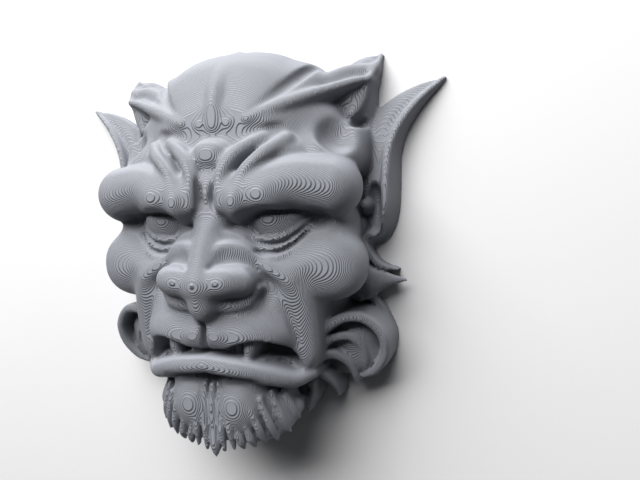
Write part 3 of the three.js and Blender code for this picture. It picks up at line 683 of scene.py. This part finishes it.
def layer_tone(nodes, layer, place):
    """The plastic of one layer is a little lighter or duller than that of the next."""
    tint = nodes.tree.nodes.new("ShaderNodeCombineXYZ")
    nodes.link(nodes.math("MULTIPLY", nodes.math("FLOOR", layer), LAYER_TINT), tint.inputs["Z"])
    banding = nodes.noise(tint.outputs[0], 1.0, 1)
    clouds = nodes.noise(place, CLOUDS, 4)
    halves = [nodes.math("MULTIPLY", tone, 0.5) for tone in (banding, clouds)]
    return nodes.math("ADD", *halves)


def print_plastic():
    """Matte grey plastic laid down in level layers: rings on shallow slopes, fine lines on walls, with
    painted shadow darkening the edge of each layer.
    """
    nodes = Nodes("print_plastic")
    place = nodes.place()
    normal = nodes.tree.nodes.new("ShaderNodeNewGeometry").outputs["Normal"]
    facing = nodes.math("MAXIMUM", nodes.math("ABSOLUTE", nodes.height(normal)), LEAST)
    layer = nodes.math("DIVIDE", nodes.height(place), LAYER)
    riser, terrace = layer_edges(nodes, layer, facing)
    tone = layer_tone(nodes, layer, place)

    colour = nodes.mix(nodes.between(tone, 0.3, 0.7), shade(GREY, 0.94), shade(GREY, 1.06))
    # painted shadow: the edge of each layer is darkened in the colour, most on shallow slopes, for the
    # shade that the step of the layer casts
    painted_edge_shadow = nodes.math("MULTIPLY", riser, nodes.between(facing, 0.40, 0.80, 0.15, 0.95))
    colour = nodes.mix(painted_edge_shadow, colour, shade(GREY, LAYER_EDGE_PAINTED_SHADOW))
    nodes.link(colour, nodes.shader.inputs["Base Color"])
    nodes.link(nodes.between(tone, 0.25, 0.75, 0.50, 0.60), nodes.shader.inputs["Roughness"])
    nodes.shader.inputs["Specular IOR Level"].default_value = 0.35

    grain = nodes.bump(nodes.noise(place, GRAINS, 2), GRAIN_DEPTH, 0.5)
    strength = nodes.between(facing, 0.5, 0.85, 0.1, 1.0)
    rings = nodes.bump(terrace, LAYER, strength, grain)
    nodes.link(rings, nodes.shader.inputs["Normal"])
    return nodes.material


def pale_table():
    """Smooth pale table top."""
    nodes = Nodes("pale_table")
    tone = nodes.noise(nodes.place(), 30, 3)
    nodes.link(nodes.mix(tone, shade(PALE, 0.985), PALE), nodes.shader.inputs["Base Color"])
    nodes.shader.inputs["Roughness"].default_value = 0.6
    nodes.shader.inputs["Specular IOR Level"].default_value = 0.2
    return nodes.material


def add_table(size):
    """A plain floor under the mask."""
    mesh = bpy.data.meshes.new("table_top")
    half = size / 2
    corners = [(-half, -half, 0), (half, -half, 0), (half, half, 0), (-half, half, 0)]
    mesh.from_pydata(corners, [], [(0, 1, 2, 3)])
    table = bpy.data.objects.new("table_top", mesh)
    table.data.materials.append(pale_table())
    bpy.context.scene.collection.objects.link(table)


def aim(thing, place, ahead, roll_up):
    """Puts a light or camera in place, looking ahead with roll_up towards its top."""
    back = -Vector(ahead).normalized()
    right = Vector(roll_up).cross(back).normalized()
    up = back.cross(right)
    turn = Matrix((right, up, back)).transposed().to_4x4()
    thing.matrix_world = Matrix.Translation(Vector(place)) @ turn


def add_window():
    """One wide, soft light, turned to the middle of the mask."""
    lamp = bpy.data.lights.new("window", "AREA")
    lamp.size = WINDOW_SIZE
    lamp.energy = WINDOW_POWER
    lamp.color = WINDOW_COLOUR
    window = bpy.data.objects.new("window", lamp)
    bpy.context.scene.collection.objects.link(window)
    aim(window, WINDOW_PLACE, -Vector(WINDOW_PLACE), (0, 0, 1))


def add_room():
    """Faint light from all sides."""
    world = bpy.data.worlds.new("soft_room")
    world.use_nodes = True
    background = world.node_tree.nodes["Background"]
    background.inputs["Color"].default_value = ROOM_COLOUR
    background.inputs["Strength"].default_value = ROOM_GLOW
    bpy.context.scene.world = world


def add_camera(nose_up):
    """The camera, at the photo's viewing angle, nose_up being where the tip of the nose is."""
    lens = bpy.data.cameras.new("photo_camera")
    lens.sensor_width = SENSOR
    lens.lens = LENS
    lens.clip_start = 0.01
    camera = bpy.data.objects.new("photo_camera", lens)
    bpy.context.scene.collection.objects.link(camera)
    aim(camera, Vector((0, nose_up, 0)) + Vector(CAMERA_PLACE), CAMERA_AHEAD, CAMERA_UP)
    bpy.context.scene.camera = camera


cad_low, cad_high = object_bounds()
width = cad_high.x - cad_low.x
height = cad_high.y - cad_low.y

mask = build_mask("mask")
mask.data.materials.append(print_plastic())
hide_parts("mask")
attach(mask, "root")

add_table(TABLE_SHARE * width)
add_window()
add_room()
add_camera(cad_low.y + NOSE_TIP * height)
bpy.context.scene.view_settings.view_transform = "Standard"
